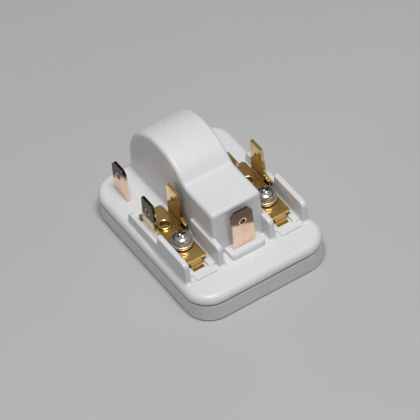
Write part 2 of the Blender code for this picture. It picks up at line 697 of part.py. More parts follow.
def make_bracket(word, side):
    """Stamped bracket: flat base, two upright blades and a tongue bent down."""
    x = side * TERMINAL_X
    outer = BRACKET_HALF
    inner = BRACKET_HALF - METAL_THICKNESS
    bend = BRACKET_BEND
    low, high = BRACKET_Z, BRACKET_TOP_Z
    section = [(x - outer, BLADE_TOP_Z + OVERLAP)]
    section += arc((x - outer + bend + METAL_THICKNESS, low + bend + METAL_THICKNESS),
                   bend + METAL_THICKNESS, 180.0, 270.0, 4)
    section += arc((x + outer - bend - METAL_THICKNESS, low + bend + METAL_THICKNESS),
                   bend + METAL_THICKNESS, 270.0, 360.0, 4)
    section += [(x + outer, BLADE_TOP_Z + OVERLAP), (x + inner, BLADE_TOP_Z + OVERLAP)]
    section += arc((x + inner - bend, high + bend), bend, 360.0, 270.0, 4)
    section += arc((x - inner + bend, high + bend), bend, 270.0, 180.0, 4)
    section += [(x - inner, BLADE_TOP_Z + OVERLAP)]
    back = BLADE_Y + BLADE_WIDTH / 2
    bracket = prism("terminal_bracket_" + word, section, "Y", FOOT_FRONT_Y, back)
    side_view = [(back, low - OVERLAP)]
    side_view += blade_outline(BLADE_Y, (BLADE_WIDTH / 2, BLADE_SHOULDER_Z), BLADE_TIP_WIDTH / 2,
                               BLADE_TOP_Z, BLADE_BACK_CUT, BLADE_FRONT_CUT)
    side_view += [(FOOT_FRONT_Y, FOOT_TOP_Z), (FOOT_FRONT_Y, low - OVERLAP)]
    trim = prism("bracket_trim_" + word, side_view, "X", x - outer - OVERLAP, x + outer + OVERLAP)
    plate = block("bracket_plate_" + word,
                  (x - STRIP_WIDTH / 2, BRACKET_FRONT_Y, low),
                  (x + STRIP_WIDTH / 2, FOOT_FRONT_Y + OVERLAP, high))
    tongue = make_tongue("bracket_tongue_" + word, x)
    combine(bracket, [trim], "INTERSECT")
    fused = [plate, tongue]
    if side < 0:
        lug = block("bracket_lug_" + word,
                    (x - outer, back - OVERLAP, LUG_TOP_Z - LUG_HEIGHT),
                    (x - inner, LUG_BACK_Y, LUG_TOP_Z))
        fused.append(lug)
    combine(bracket, fused, "UNION")
    holes = [
        cylinder("bracket_hole_" + word, (x, SCREW_Y), SCREW_HOLE_RADIUS,
                 low - OVERLAP, high + OVERLAP, steps=24),
        cylinder("bracket_eye_" + word, (x + COLLAR_SHIFT, COLLAR_Y), COLLAR_RADIUS + GAP,
                 low - OVERLAP, high + OVERLAP, steps=24),
    ]
    for index, low_x in enumerate((x - outer, x + inner)):
        holes.append(blade_hole("bracket_blade_hole_%s_%d" % (word, index),
                                (BLADE_Y, BLADE_TOP_Z - BLADE_HOLE_DROP), BLADE_HOLE_RADIUS,
                                "X", low_x, low_x + METAL_THICKNESS))
    combine(bracket, holes, "DIFFERENCE")
    smooth(bracket)
    add_material(bracket, "brass")
    return bracket


def make_tongue(name, x):
    """Tongue that slopes through the window and stands on the strip below."""
    middle = (BRACKET_Z + BRACKET_TOP_Z) / 2
    end_y = BRACKET_FRONT_Y - TONGUE_RUN
    path = [(BRACKET_FRONT_Y + METAL_THICKNESS, middle), (BRACKET_FRONT_Y, middle),
            (end_y, middle - TONGUE_DROP), (end_y, LINK_TOP_Z + GAP)]
    outline = path_outline(path, METAL_THICKNESS / 2)
    return prism(name, outline, "X", x - TONGUE_WIDTH / 2, x + TONGUE_WIDTH / 2)


def make_strip(word, side):
    """Clamp strip with a screw hole and a threaded collar."""
    x = side * TERMINAL_X
    half = STRIP_WIDTH / 2
    cut = STRIP_CHAMFER
    outline = [
        (x - half, STRIP_FRONT_Y), (x + half, STRIP_FRONT_Y),
        (x + half, STRIP_BACK_Y - cut), (x + half - cut, STRIP_BACK_Y),
        (x - half + cut, STRIP_BACK_Y), (x - half, STRIP_BACK_Y - cut),
    ]
    strip = prism("terminal_strip_" + word, outline, "Z", STRIP_Z, STRIP_TOP_Z)
    eye = (x + COLLAR_SHIFT, COLLAR_Y)
    collar = cylinder("strip_collar_" + word, eye, COLLAR_RADIUS,
                      STRIP_Z - COLLAR_DROP, STRIP_TOP_Z + COLLAR_RISE)
    bore = cylinder("strip_bore_" + word, eye, COLLAR_BORE,
                    STRIP_Z - COLLAR_DROP - OVERLAP, STRIP_TOP_Z + COLLAR_RISE + OVERLAP)
    hole = cylinder("strip_hole_" + word, (x, SCREW_Y), SCREW_HOLE_RADIUS,
                    STRIP_Z - OVERLAP, STRIP_TOP_Z + OVERLAP, steps=24)
    combine(strip, [collar], "UNION")
    combine(strip, [bore, hole], "DIFFERENCE")
    smooth(strip)
    add_material(strip, "brass")
    return strip


def make_washer(word, side):
    """Plain round washer."""
    profile = [(SCREW_HOLE_RADIUS, WASHER_Z), (WASHER_RADIUS, WASHER_Z),
               (WASHER_RADIUS, WASHER_Z + WASHER_THICKNESS),
               (SCREW_HOLE_RADIUS, WASHER_Z + WASHER_THICKNESS)]
    washer = turned("terminal_washer_" + word, profile, (side * TERMINAL_X, SCREW_Y))
    smooth(washer)
    add_material(washer, "nickel")
    return washer


def make_screw(word, side):
    """Pan-head screw with a cross recess."""
    centre = (side * TERMINAL_X, SCREW_Y)
    wall = SCREW_HEAD_HEIGHT * 0.45
    crown = SCREW_HEAD_HEIGHT - wall
    point = SCREW_SHANK_RADIUS / 2
    profile = [(0.0, SCREW_TIP_Z), (point, SCREW_TIP_Z),
               (SCREW_SHANK_RADIUS, SCREW_TIP_Z + point),
               (SCREW_SHANK_RADIUS, HEAD_Z), (SCREW_HEAD_RADIUS, HEAD_Z)]
    for step in range(7):
        angle = math.radians(90.0 * step / 6)
        profile.append((SCREW_HEAD_RADIUS * math.cos(angle),
                        HEAD_Z + wall + crown * math.sin(angle)))
    profile[-1] = (0.0, HEAD_Z + SCREW_HEAD_HEIGHT)
    screw = turned("terminal_screw_" + word, profile, centre)
    top = HEAD_Z + SCREW_HEAD_HEIGHT
    cuts = []
    for index, reach in enumerate(((SCREW_RECESS_SPAN, SCREW_RECESS_WIDTH),
                                   (SCREW_RECESS_WIDTH, SCREW_RECESS_SPAN))):
        cuts.append(block("screw_recess_%s_%d" % (word, index),
                          (centre[0] - reach[0] / 2, centre[1] - reach[1] / 2,
                           top - SCREW_RECESS_DEPTH),
                          (centre[0] + reach[0] / 2, centre[1] + reach[1] / 2, top + OVERLAP)))
    combine(screw, cuts, "DIFFERENCE")
    smooth(screw)
    add_material(screw, "nickel")
    return screw


def make_tab(name, x, y, top, along):
    """Single copper tab with shoulders under the deck and a narrow foot."""
    across = x if along == "X" else y
    half = TAB_WIDTH / 2
    shoulder = half + TAB_SHOULDER
    high = DECK_UNDER_Z - GAP
    low = high - TAB_SHOULDER_DEPTH
    foot = TAB_FOOT_WIDTH / 2
    outline = [(across + half, high)]
    outline += blade_outline(across, (half, DECK_HEIGHT), TAB_TIP_WIDTH / 2, top, TAB_CUT, TAB_CUT)
    outline += [(across - half, high), (across - shoulder, high), (across - shoulder, low),
                (across - foot, low), (across - foot, LINK_TOP_Z + GAP),
                (across + foot, LINK_TOP_Z + GAP), (across + foot, low),
                (across + shoulder, low), (across + shoulder, high)]
    thin = METAL_THICKNESS / 2
    centre = y if along == "X" else x
    tab = prism(name, outline, "Y" if along == "X" else "X", centre - thin, centre + thin)
    hole = blade_hole(name + "_hole", (across, top - TAB_HOLE_DROP), TAB_HOLE_RADIUS,
                      "Y" if along == "X" else "X", centre - thin, centre + thin)
    combine(tab, [hole], "DIFFERENCE")
    smooth(tab)
    add_material(tab, "copper")
    return tab


def make_disc():
    """Thermistor disc, standing on edge under the arch."""
    disc = cylinder("ptc_disc", (HUMP_ARCH_Y, DISC_Z), DISC_RADIUS,
                    -DISC_THICKNESS / 2, DISC_THICKNESS / 2, "X", 48)
    smooth(disc)
    add_material(disc, "ceramic")
    return disc


def spring_wall(z=DECK_HEIGHT):
    """Middle of a spring's straight ends, beside the wall of the hump at a height."""
    lean = max(z - DECK_HEIGHT, 0.0) * HUMP_DRAFT
    return HUMP_HALF - lean - HUMP_WALL - GAP - SPRING_THICKNESS / 2


def make_spring(word, side):
    """Bowed leaf spring between the disc and the wall of the hump."""
    half = SPRING_THICKNESS / 2
    contact = DISC_THICKNESS / 2 + GAP + half
    wall = spring_wall()
    top_z = DISC_Z + SPRING_TOP_RISE
    foot_z = LINK_TOP_Z + GAP + half
    path = [
        (side * (wall + SPRING_FOOT), foot_z),
        (side * wall, foot_z),
        (side * wall, min(DISC_Z - SPRING_KNEE_DROP, DECK_HEIGHT)),
        (side * contact, DISC_Z - SPRING_PAD_HALF),
        (side * contact, DISC_Z + SPRING_PAD_HALF),
        (side * spring_wall(top_z), DISC_Z + SPRING_SHOULDER_RISE),
        (side * spring_wall(top_z), top_z),
    ]
    outline = path_outline(path, half)
    low = HUMP_ARCH_Y - SPRING_WIDTH / 2
    spring = prism("ptc_spring_" + word, outline, "Y", low, low + SPRING_WIDTH)
    smooth(spring)
    add_material(spring, "spring_steel")
    return spring


def make_socket(word, pin, slit_angle):
    """Rolled pin socket with its flat connecting strip."""
    half_slit = math.degrees(SOCKET_SLIT / 2 / SOCKET_RADIUS)
    start = slit_angle + half_slit
    end = slit_angle + 360.0 - half_slit
    outline = arc(pin, SOCKET_RADIUS, start, end, 28)
    outline += arc(pin, PIN_BORE_RADIUS, end, start, 28)
    socket = prism("pin_socket_" + word, outline, "Z", LINK_Z, SOCKET_TOP_Z)
    links = link_shapes("socket_link_" + word, link_paths()[word], LINK_Z, LINK_TOP_Z)
    bore = cylinder("socket_bore_" + word, pin, PIN_BORE_RADIUS,
                    LINK_Z - OVERLAP, LINK_TOP_Z + OVERLAP, steps=28)
    for link in links:
        combine(link, [bore], "DIFFERENCE")
    combine(socket, links, "UNION")
    smooth(socket)
    add_material(socket, "brass")
    return socket


def make_clip(word, pin, slit_angle):
    """Open steel ring that squeezes the socket."""
    half_slit = math.degrees(CLIP_OPENING / 2 / CLIP_RADIUS)
    start = slit_angle + half_slit
    end = slit_angle + 360.0 - half_slit
    outline = arc(pin, CLIP_RADIUS, start, end, 24)
    outline += arc(pin, CLIP_RADIUS - CLIP_THICKNESS, end, start, 24)
    clip = prism("pin_clip_" + word, outline, "Z", LINK_TOP_Z + GAP, SOCKET_TOP_Z - GAP)
    smooth(clip)
    add_material(clip, "spring_steel")
    return clip


def main():
    """Build every piece."""
    clear_scene()
    make_base()
    make_cover()
    for word, side in (("left", -1), ("right", 1)):
        make_bracket(word, side)
        make_strip(word, side)
        make_washer(word, side)
        make_screw(word, side)
        make_spring(word, side)
    make_tab("tab_front", FRONT_TAB_X, FRONT_TAB_Y, FRONT_TAB_TOP_Z, "X")
    make_tab("tab_rear", REAR_TAB_X, REAR_TAB_Y, REAR_TAB_TOP_Z, "Y")
    make_disc()
    for word, pin, angle in (("common", COMMON_PIN, 90.0), ("start", START_PIN, 0.0),
                             ("run", RUN_PIN, 180.0)):
        make_socket(word, pin, angle)
        make_clip(word, pin, angle)


main()
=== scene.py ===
"""Compressor start relay: materials, fine surface, camera and light.

The solids come from model.glb. This script paints them, adds the small forms that
are too fine for them, and sets up the camera, the floor and the lamps.
"""
import math

import bpy
import bmesh
from mathutils import Matrix, Vector
from mathutils.bvhtree import BVHTree


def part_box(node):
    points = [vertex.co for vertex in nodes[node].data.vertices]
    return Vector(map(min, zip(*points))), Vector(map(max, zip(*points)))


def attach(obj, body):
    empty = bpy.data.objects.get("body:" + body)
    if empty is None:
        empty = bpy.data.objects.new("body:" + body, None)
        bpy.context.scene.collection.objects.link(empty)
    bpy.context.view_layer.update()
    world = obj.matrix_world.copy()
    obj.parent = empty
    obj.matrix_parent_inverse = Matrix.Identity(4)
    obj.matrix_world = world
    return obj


MM = 0.001

# Finish of the solids' meshes
WELD = 1e-6
WHOLE_FACE_ANGLE = math.radians(0.3)
EDGE_SEGMENTS = 2
EDGE_ANGLE = math.radians(30.0)
SMOOTH_ANGLE = math.radians(34.0)

# Heights of the cover's level faces
DECK_TOP = 8.0 * MM
PEDESTAL_TOP = 9.5 * MM

# Fillets at the foot of the walls on the deck: wide at the low ribs and rails,
# fine at the tall walls and the small steps, none in the terminals' beds
FOOT_HEIGHTS = (7.9 * MM, 15.0 * MM)
BED_HEIGHTS = (8.02 * MM, 8.2 * MM)
FOOT_RADIUS = 0.85 * MM
FINE_FOOT_RADIUS = 0.15 * MM
TALL_WALL = 7.0 * MM
SMALL_STEP = 2.0 * MM
LEAST_RISE = 0.2 * MM
LEVEL_NORMAL = 0.99
WALL_NORMAL = 0.4
FOOT_STEPS = 7
FOOT_SINK = 0.08 * MM
WIDE_SHARE = 0.42
FINE_SHARE = 0.4
MITRE_LIMIT = 0.4
FREE_REACH = 3 * MM
FEELER_OUT = 0.05 * MM
FEELER_UP = 0.15 * MM
FALL_START = 0.3 * MM
FALL_REACH = 2 * MM

# Lips of plastic round the copper tabs
SEAT_GAP = 0.30 * MM
SEAT_OVERLAP = 0.03 * MM
SEAT_RISE = 0.07 * MM
SEAT_SECTION = 0.2 * MM
LIP_STEPS = 6

# Bars with a round back: the sills, the rails' lips and the seams
LIP_DEPTH = 0.45 * MM
BACK_STEPS = 8

# Sills of the windows in front of the terminals
TERMINAL_X = 12.1 * MM
WINDOW_HALF = 2.12 * MM
WINDOW_FRONT = -15.92 * MM
WINDOW_BACK = -13.2 * MM
SILL_HEIGHT = 7.62 * MM
SILL_RISE = 0.03 * MM

# Lips of the low rails, against the feet of the outer blades
RAIL_FACE = 16.40 * MM
RAIL_LIP_HEIGHT = 11.08 * MM
RAIL_LIP_RISE = 0.06 * MM
FOOT_SPAN = (-4.0 * MM, 3.9 * MM)

# Seams between the strips and the blades
BLADE_SPAN = (-1.75 * MM, 3.85 * MM)
SEAM_HEIGHT = 1.64 * MM
SEAM_OVERLAP = 0.04 * MM
SEAM_RISE = 0.14 * MM
SEAM_DEPTH = 0.5 * MM

# Drawn collars of the strips: the crowned rim on top and the thread inside
COLLAR_BAND = 0.02 * MM
COLLAR_RIM_SINK = 0.01 * MM
COLLAR_RIM_INSET = 0.02 * MM
COLLAR_RIM_RISE = 0.10 * MM
THREAD_PITCH = 0.45 * MM
THREAD_DEPTH = 0.09 * MM
THREAD_HALF = 0.21 * MM
THREAD_ROOT = 0.02 * MM
THREAD_LOW = 0.25 * MM
THREAD_HIGH = 0.15 * MM
THREAD_STEPS = 36
THREAD_FADE = 6

# Coined rims of the holes in the tabs and blades, and the ejector mark on the deck
HOLE_DROP = 3.5 * MM
BLADE_HOLE_Y = 1.05 * MM
TAB_RIM = (0.93 * MM, 0.16 * MM, 0.06 * MM)
BLADE_RIM = (0.82 * MM, 0.12 * MM, 0.05 * MM)
DECK_MARK = (0.90 * MM, 0.20 * MM, 0.10 * MM)
DECK_MARK_PLACE = (0.48 * MM, -21.05 * MM, DECK_TOP)
RING_STEPS = 48
RING_SIDES = 8

# Rounded front of the front tab's pedestal
PEDESTAL_FRONT = -17.4 * MM
NOSE_SPAN = (-4.45 * MM, 4.95 * MM)
NOSE_REACH = 0.62 * MM
NOSE_CORNER = 0.9 * MM
NOSE_SINK = 0.1 * MM
NOSE_PROUD = 0.01 * MM
NOSE_OVERLAP = 0.02 * MM
NOSE_STEPS = 40
NOSE_DROP_STEPS = 8
NOSE_POWER = 2.4

# Camera at the photograph's viewing angle, in degrees, metres and millimetres
AZIMUTH, ELEVATION, ROLL = -27.877, 46.250, -6.794
CAMERA_PLACE = (-0.343968, -0.651001, 0.777069)
SENSOR_WIDTH = 36.0
LENS = 375.54
CLIP = (0.01, 20.0)

# Floor and lamps: (name, place, size, power)
FLOOR_HALF = 1.5
LAMP_AIM = (0.0, 0.0, 0.01)
LAMPS = (
    ("key", (-0.04, -0.13, 0.58), (0.24, 0.24), 2.42),
    ("front", (0.27, -0.78, 0.27), (0.50, 0.34), 0.30),
)
DOME_TINT = (0.985, 0.99, 1.0, 1.0)
DOME_HEIGHTS = (0.50, 1.0)
DOME_STRENGTHS = (0.06, 0.36)

# Painted reflections and painted light on the metal beyond a line: (point, way, tone, strength).
# Dark painted reflections lie towards the tips; the outer side of the left blade and the tongues
# get painted light.
TAB_PAINTED_LIGHT = (
    ((0.0, -16.1 * MM, 16.5 * MM), (0.387, 0, 1), (0.145, 0.080, 0.062), 0.90),
    ((-14.3 * MM, 17.8 * MM, 14.1 * MM), (0, 0.71, 1), (0.022, 0.014, 0.010), 0.97),
)
BRACKET_PAINTED_LIGHT = (
    ((-15.75 * MM, 0.0, 0.0), (-1, 0, 0), (0.94, 0.82, 0.54), 0.90),
    ((0.0, -13.7 * MM, 0.0), (0, -1, 0), (1.0, 0.70, 0.24), 0.90),
    ((-16.05 * MM, 1.0 * MM, 13.75 * MM), (-3, 0, 1), (0.026, 0.017, 0.011), 0.97),
)
ZONE_RAGGED = 0.45 * MM
ZONE_BLEND = (-0.40 * MM, 0.35 * MM)

# Where a material turns from one tone to the next: the cosine between the plain and the rounded
# normal at an edge, and the upward share of a level face's normal, for the painted light on
# faces that look up
EDGE_TURN = (0.90, 0.995)
LEVEL_TURN = (0.20, 0.38)
NOOK_SAMPLES = 6
EDGE_SAMPLES = 4

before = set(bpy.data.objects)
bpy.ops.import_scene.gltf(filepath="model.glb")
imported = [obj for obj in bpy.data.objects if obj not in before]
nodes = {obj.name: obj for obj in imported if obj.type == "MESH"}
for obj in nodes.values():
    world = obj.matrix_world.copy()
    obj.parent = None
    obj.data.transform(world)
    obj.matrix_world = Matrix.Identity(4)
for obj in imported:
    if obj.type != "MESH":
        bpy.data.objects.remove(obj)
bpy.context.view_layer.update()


# Materials

class Shader:
    """A material under construction, with short calls for its nodes."""

    def __init__(self, name):
        self.material = bpy.data.materials.new(name)
        self.material.use_nodes = True
        self.tree = self.material.node_tree
        self.main = self.tree.nodes["Principled BSDF"]
        self.place = self.add("ShaderNodeTexCoord").outputs["Object"]

    def add(self, kind, sockets=None, **properties):
        """A new node, with its properties and the constants on its sockets."""
        node = self.tree.nodes.new(kind)
        for key, value in properties.items():
            setattr(node, key, value)
        for key, value in (sockets or {}).items():
            node.inputs[key].default_value = value
        return node

    def link(self, source, target):
        self.tree.links.new(source, target)

    def noise(self, scale, detail=3.0, rough=0.5, stretch=None, distortion=0.0):
        """Noise in the object's own coordinates, drawn out by stretch."""
        node = self.add("ShaderNodeTexNoise", {
            "Scale": scale, "Detail": detail, "Roughness": rough, "Distortion": distortion})
        vector = self.place
        if stretch:
            mapping = self.add("ShaderNodeMapping", {"Scale": stretch})
            self.link(self.place, mapping.inputs["Vector"])
            vector = mapping.outputs["Vector"]
        self.link(vector, node.inputs["Vector"])
        return node.outputs["Fac"]

    def spread(self, source, low, high, out_low=0.0, out_high=1.0):
        """Map the range low to high of a value onto out_low to out_high."""
        node = self.add("ShaderNodeMapRange", {
            "From Min": low, "From Max": high, "To Min": out_low, "To Max": out_high})
        self.link(source, node.inputs["Value"])
        return node.outputs["Result"]

    def mix(self, factor, first, second):
        """Blend two tones, each a colour or a socket, by a socket."""
        node = self.add("ShaderNodeMix", data_type="RGBA")
        self.link(factor, node.inputs[0])
        for socket, tone in ((6, first), (7, second)):
            if isinstance(tone, bpy.types.NodeSocket):
                self.link(tone, node.inputs[socket])
            else:
                node.inputs[socket].default_value = (*tone, 1.0)
        return node.outputs[2]

    def nook_shade(self, reach, full, none, strength):
        """How much a point is shut in by its neighbours, from 0 to strength; it paints shade
        into nooks.
        """
        node = self.add("ShaderNodeAmbientOcclusion", {"Distance": reach},
                        samples=NOOK_SAMPLES)
        return self.spread(node.outputs["AO"], full, none, strength, 0.0)

    def edge(self, radius, strength):
        """Where the surface turns over an edge, from 0 to strength."""
        round_over = self.add("ShaderNodeBevel", {"Radius": radius}, samples=EDGE_SAMPLES)
        plain = self.add("ShaderNodeNewGeometry")
        dot = self.add("ShaderNodeVectorMath", operation="DOT_PRODUCT")
        self.link(round_over.outputs["Normal"], dot.inputs[0])
        self.link(plain.outputs["Normal"], dot.inputs[1])
        return self.spread(dot.outputs["Value"], *EDGE_TURN, strength, 0.0)

    def painted_top_light(self, strength):
        """Where the surface faces up, from 0 to strength, for painted light on faces that look
        up.
        """
        plain = self.add("ShaderNodeNewGeometry")
        split = self.add("ShaderNodeSeparateXYZ")
        self.link(plain.outputs["Normal"], split.inputs["Vector"])
        return self.spread(split.outputs["Z"], *LEVEL_TURN, 0.0, strength)

    def beyond(self, point, way, strength):
        """Where the place lies beyond a ragged line, from 0 to strength."""
        ragged = self.spread(self.noise(420.0), 0.3, 0.7, -ZONE_RAGGED, ZONE_RAGGED)
        away = self.add("ShaderNodeVectorMath", {1: point}, operation="SUBTRACT")
        self.link(self.place, away.inputs[0])
        far = self.add("ShaderNodeVectorMath", {1: Vector(way).normalized()},
                       operation="DOT_PRODUCT")
        self.link(away.outputs["Vector"], far.inputs[0])
        total = self.add("ShaderNodeMath", operation="ADD")
        self.link(far.outputs["Value"], total.inputs[0])
        self.link(ragged, total.inputs[1])
        return self.spread(total.outputs["Value"], *ZONE_BLEND, 0.0, strength)

    def bump(self, heights):
        """Chain of bumps from (height, strength, distance)."""
        last = None
        for height, strength, distance in heights:
            node = self.add("ShaderNodeBump", {"Strength": strength, "Distance": distance})
            self.link(height, node.inputs["Height"])
            if last:
                self.link(last, node.inputs["Normal"])
            last = node.outputs["Normal"]
        self.link(last, self.main.inputs["Normal"])

    def paint(self, tint, rough, constants):
        """Link the main shader's colour and roughness and set its constants."""
        self.link(tint, self.main.inputs["Base Color"])
        if rough:
            self.link(rough, self.main.inputs["Roughness"])
        for key, value in constants.items():
            self.main.inputs[key].default_value = value


def shaded(colour, share):
    return tuple(min(1.0, c * share) for c in colour)


def moulded_plastic(name, colour):
    """Satin white thermoplastic with a faint mould texture, handling marks and painted shade in
    its corners.
    """
    s = Shader(name)
    cloud = s.noise(90.0, detail=4.0, rough=0.55)
    tint = s.mix(s.spread(cloud, 0.35, 0.7), colour, shaded(colour, 0.97))
    smudge = s.spread(s.noise(260.0, detail=6.0, rough=0.62), 0.66, 0.82, out_high=0.2)
    tint = s.mix(smudge, tint, shaded(colour, 0.93))
    # Painted shade: a grey tint where the ambient occlusion finds corners and creases
    nook_shade = s.nook_shade(0.8 * MM, full=0.20, none=0.85, strength=0.18)
    tint = s.mix(nook_shade, tint, (0.62, 0.615, 0.60))
    rough = s.spread(s.noise(420.0, detail=5.0, rough=0.6), 0.3, 0.75, 0.24, 0.40)
    s.paint(tint, rough, {
        "IOR": 1.49,
        "Subsurface Weight": 0.12,
        "Subsurface Radius": (1.0, 0.95, 0.9),
        "Subsurface Scale": 0.8 * MM,
    })
    grain = s.noise(5200.0, detail=2.0)
    wave = s.noise(150.0, detail=2.0, rough=0.45)
    scratch = s.spread(s.noise(900.0, stretch=(0.12, 1.0, 0.5)), 0.66, 0.72)
    s.bump([(wave, 0.30, 0.10 * MM), (grain, 0.16, 0.02 * MM), (scratch, 0.04, 0.01 * MM)])
    return s.material


def stamped_metal(name, bright, dull, roughness, along="Z", nook_shade=(1.3 * MM, 0.40),
                  painted_shade_tone=(0.30, 0.20, 0.09), level=None, painted_light_zones=()):
    """Rolled sheet metal: drawn grain along one axis, random tarnish, painted shade, painted
    light and painted reflections, bright edges.

    nook shade is (reach, strength) of the painted shade deep in nooks, level the tone of painted
    light on the faces that look up, and painted light zones are tones of painted reflection and
    painted light beyond a line.
    """
    s = Shader(name)
    stretch = tuple(0.05 if axis == along else 1.0 for axis in "XYZ")
    grain = s.noise(2200.0, detail=4.0, rough=0.6, stretch=stretch)
    patch = s.noise(190.0, detail=4.0, rough=0.55, distortion=0.6)
    tint = s.mix(s.spread(patch, 0.42, 0.72), bright, dull)
    streak = s.spread(s.noise(1300.0, stretch=stretch), 0.52, 0.70, out_high=0.35)
    tint = s.mix(streak, tint, dull)
    # Painted shade: a dark tone deep in nooks and between the blades, found by ambient occlusion
    reach, strength = nook_shade
    tint = s.mix(s.nook_shade(reach, full=0.20, none=0.90, strength=strength), tint, painted_shade_tone)
    # Painted light: a brighter tone on the faces that look up
    if level:
        tint = s.mix(s.painted_top_light(strength=0.85), tint, level)
    # Painted reflections and painted light beyond lines: dark tips, a pale outer blade face,
    # bright tongues
    for point, way, tone, strength in painted_light_zones:
        tint = s.mix(s.beyond(point, way, strength), tint, tone)
    # Bright edges: partly burnished sheet edges, partly a painted highlight
    tint = s.mix(s.edge(0.15 * MM, strength=0.6), tint, shaded(bright, 1.15))
    rough = s.spread(grain, 0.3, 0.7, roughness - 0.03, roughness + 0.06)
    s.paint(tint, rough, {"Metallic": 1.0})
    dents = s.noise(330.0, detail=2.0, rough=0.4)
    s.bump([(dents, 0.22, 0.06 * MM), (grain, 0.10, 0.01 * MM)])
    return s.material


def plated_metal(name, colour, roughness):
    """Bright nickel plating with soft waves and painted shade in its corners."""
    s = Shader(name)
    patch = s.spread(s.noise(700.0, detail=4.0, rough=0.6), 0.4, 0.7)
    tint = s.mix(patch, colour, shaded(colour, 0.80))
    # Painted shade: a dark tint where the ambient occlusion finds corners
    nook_shade = s.nook_shade(0.9 * MM, full=0.2, none=0.8, strength=0.6)
    tint = s.mix(nook_shade, tint, (0.20, 0.18, 0.17))
    rough = s.spread(s.noise(1600.0), 0.35, 0.7, roughness, roughness + 0.08)
    s.paint(tint, rough, {"Metallic": 1.0})
    s.bump([(s.noise(850.0, rough=0.55), 0.35, 0.06 * MM)])
    return s.material


def fired_ceramic(name):
    """Dark matt ceramic with fine specks."""
    s = Shader(name)
    speck = s.spread(s.noise(1800.0, detail=4.0, rough=0.7), 0.4, 0.7)
    tint = s.mix(speck, (0.15, 0.14, 0.13), (0.24, 0.23, 0.22))
    rough = s.spread(s.noise(700.0), 0.3, 0.7, 0.5, 0.75)
    s.paint(tint, rough, {})
    s.bump([(s.noise(2600.0, rough=0.6), 0.3, 0.03 * MM)])
    return s.material


def floor_paper(name):
    """Plain pale paper."""
    s = Shader(name)
    tone = s.spread(s.noise(14.0), 0.3, 0.7)
    tint = s.mix(tone, (0.54, 0.54, 0.54), (0.515, 0.515, 0.515))
    s.paint(tint, None, {"Roughness": 0.85})
    s.bump([(s.noise(1500.0), 0.1, 0.05 * MM)])
    return s.material


white_cover = moulded_plastic("cover_plastic", (0.80, 0.805, 0.815))
# The base shell's plastic is a darker copy of the cover's: painted shade on the lower shell
white_base_painted_shade = moulded_plastic("base_plastic_painted_shade", (0.745, 0.75, 0.76))
# The bracket's brass gets painted shade in nooks, painted light on faces that look up, and
# painted reflections and light beyond lines
brass_bracket = stamped_metal(
    "bracket_brass", (0.92, 0.72, 0.41), (0.66, 0.41, 0.14), roughness=0.14,
    nook_shade=(5.0 * MM, 0.95), painted_shade_tone=(0.24, 0.095, 0.02), level=(1.0, 0.69, 0.23),
    painted_light_zones=BRACKET_PAINTED_LIGHT)
# The strip's brass gets painted shade in its nooks
brass_strip = stamped_metal(
    "strip_brass", (1.0, 0.69, 0.25), (0.80, 0.47, 0.14), roughness=0.22, along="Y",
    nook_shade=(3.0 * MM, 0.70), painted_shade_tone=(0.26, 0.12, 0.03))
brass_socket = stamped_metal(
    "socket_brass", (0.80, 0.60, 0.30), (0.60, 0.42, 0.18), roughness=0.26)
# The copper's dark tips are painted reflections
copper = stamped_metal(
    "tab_copper", (1.0, 0.76, 0.60), (0.90, 0.58, 0.43), roughness=0.12, painted_light_zones=TAB_PAINTED_LIGHT)
# A lighter copy of the brass for the blades' coined rims: a painted highlight
rim_brass_painted_highlight = stamped_metal(
    "rim_brass_painted_highlight", (1.0, 0.86, 0.58), (0.90, 0.70, 0.36), roughness=0.30,
    nook_shade=(1.0 * MM, 0.15))
# A lighter copy of the brass for the collar rims and the seams: a painted highlight
collar_brass_painted_highlight = stamped_metal(
    "collar_brass_painted_highlight", (1.0, 0.74, 0.32), (0.86, 0.56, 0.20), roughness=0.22)
# A dark copy of the brass for the thread in the bore: painted shade
thread_brass_painted_shade = stamped_metal(
    "thread_brass_painted_shade", (0.50, 0.30, 0.10), (0.30, 0.15, 0.04), roughness=0.25,
    nook_shade=(2.0 * MM, 0.90), painted_shade_tone=(0.10, 0.045, 0.012))
# A lighter copy of the copper for the tabs' coined rims: a painted highlight
rim_copper_painted_highlight = stamped_metal(
    "rim_copper_painted_highlight", (1.0, 0.80, 0.66), (0.92, 0.64, 0.50), roughness=0.22)
nickel_screw = plated_metal("screw_nickel", (0.86, 0.81, 0.78), roughness=0.09)
# The washer's nickel is lighter than the screw's: a painted highlight
nickel_washer_painted_highlight = plated_metal("washer_nickel_painted_highlight", (0.93, 0.87, 0.82), roughness=0.30)
steel = stamped_metal(
    "spring_steel", (0.60, 0.60, 0.61), (0.46, 0.46, 0.47), roughness=0.26)
ceramic = fired_ceramic("disc_ceramic")

# What each kind of solid gets: material, width of its soft edges, sheet metal or not
FINISH = {
    "base_shell": (white_base_painted_shade, 0.10 * MM, False),
    "cover": (white_cover, 0.10 * MM, False),
    "terminal_bracket": (brass_bracket, 0.09 * MM, True),
    "terminal_strip": (brass_strip, 0.09 * MM, True),
    "terminal_washer": (nickel_washer_painted_highlight, 0.12 * MM, False),
    "terminal_screw": (nickel_screw, 0.10 * MM, False),
    "tab": (copper, 0.10 * MM, True),
    "ptc_disc": (ceramic, 0.20 * MM, False),
    "ptc_spring": (steel, 0.0, False),
    "pin_socket": (brass_socket, 0.0, False),
    "pin_clip": (steel, 0.0, False),
}


# Shading

